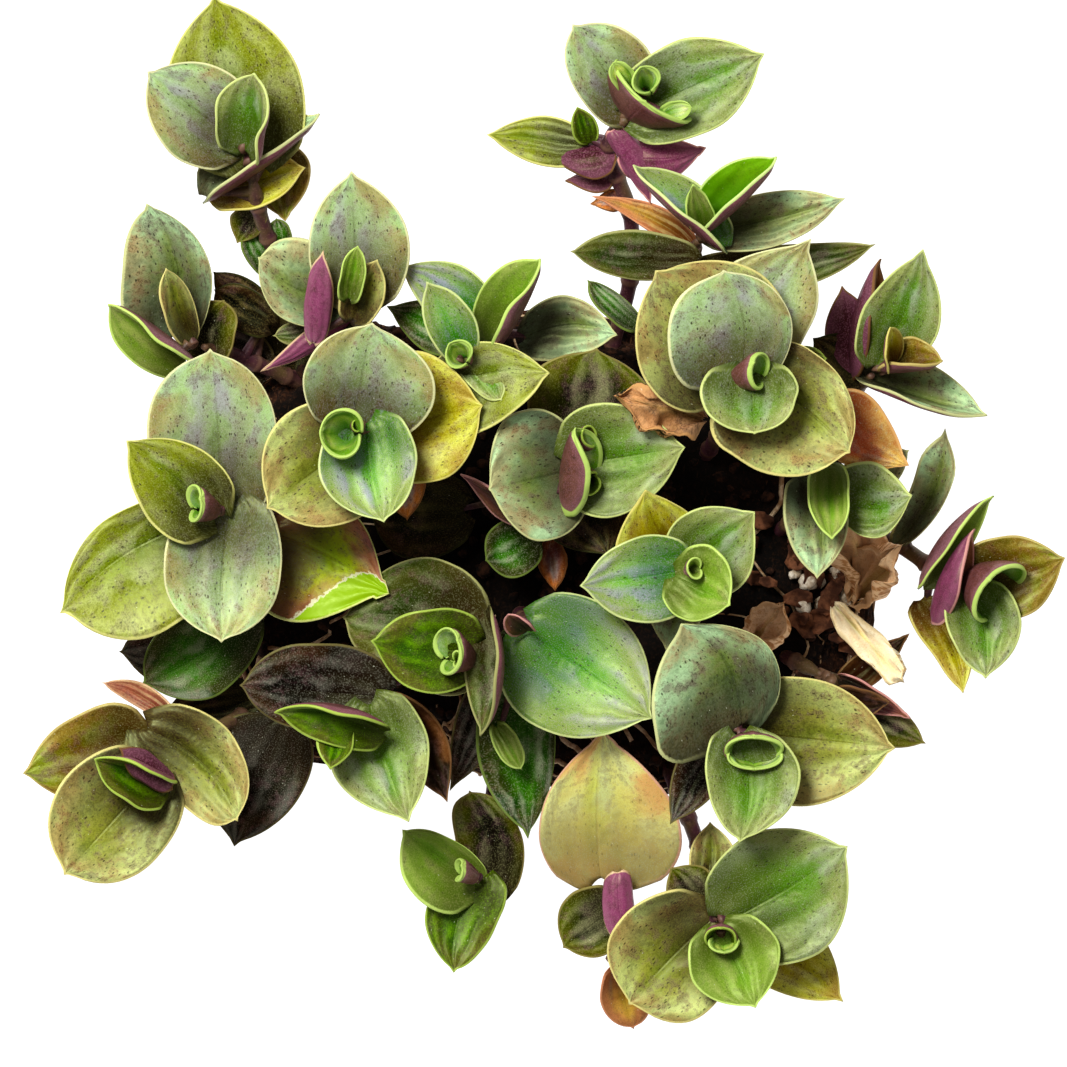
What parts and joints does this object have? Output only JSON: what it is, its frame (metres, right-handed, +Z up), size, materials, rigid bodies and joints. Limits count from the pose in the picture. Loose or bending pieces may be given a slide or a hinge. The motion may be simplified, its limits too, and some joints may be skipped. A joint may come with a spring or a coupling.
{
  "type": "creeping inch plant",
  "caption": "Clump of a trailing succulent-like houseplant: short shoots of cupped oval leaves with pale rims and purple undersides, rooted in a low pad of soil.",
  "frame": {"origin": "middle of the flat underside of the soil pad", "axes": "+Z up through the clump, +X to the right and +Y away from the viewer when it is seen from above"},
  "size_m": [0.1712, 0.1692, 0.062],
  "materials": {
    "leaf": "living leaf: satin, grey-green to olive with dark purple-brown speckles, a thin pale rim and a magenta-purple underside",
    "stem": "fleshy purple-brown stem, satin",
    "dead_leaf": "dry papery leaf, matte tan",
    "soil": "dark crumbly potting soil matted with roots, matte",
    "grit": "white porous grain, matte"
  },
  "bodies": {
    "root": {"bottom_leaves": "leaf", "bottom_stem": "stem", "broad_left_leaves": "leaf", "broad_left_stem": "stem", "centre_leaves": "leaf", "centre_stem": "stem", "crown_left_leaves": "leaf", "crown_left_stem": "stem", "crown_right_leaves": "leaf", "crown_right_stem": "stem", "crumpled_leaf_a": "dead_leaf", "crumpled_leaf_b": "dead_leaf", "curled_leaf": "dead_leaf", "dark_right_leaves": "leaf", "dark_right_stem": "stem", "far_left_low_leaves": "leaf", "far_left_low_stem": "stem", "far_right_leaves": "leaf", "far_right_stem": "stem", "far_top_leaves": "leaf", "far_top_stem": "stem", "glossy_leaves": "leaf", "glossy_stem": "stem", "granule_1": "grit", "granule_2": "grit", "granule_3": "grit", "inner_right_leaves": "leaf", "inner_right_stem": "stem", "inner_top_leaves": "leaf", "inner_top_stem": "stem", "left_leaves": "leaf", "left_stem": "stem", "long_top_leaves": "leaf", "long_top_stem": "stem", "lower_centre_leaves": "leaf", "lower_centre_stem": "stem", "lower_left_leaves": "leaf", "lower_left_stem": "stem", "lower_right_leaves": "leaf", "lower_right_stem": "stem", "papery_strip": "dead_leaf", "right_inner_leaves": "leaf", "right_inner_stem": "stem", "right_upper_leaves": "leaf", "right_upper_stem": "stem", "small_bottom_leaves": "leaf", "small_bottom_stem": "stem", "soil_pad": "soil", "top_leaves": "leaf", "top_left_leaves": "leaf", "top_left_stem": "stem", "top_stem": "stem", "upper_left_leaves": "leaf", "upper_left_stem": "stem", "yellow_bottom_leaves": "leaf", "yellow_bottom_stem": "stem"}
  },
  "joints": []
}
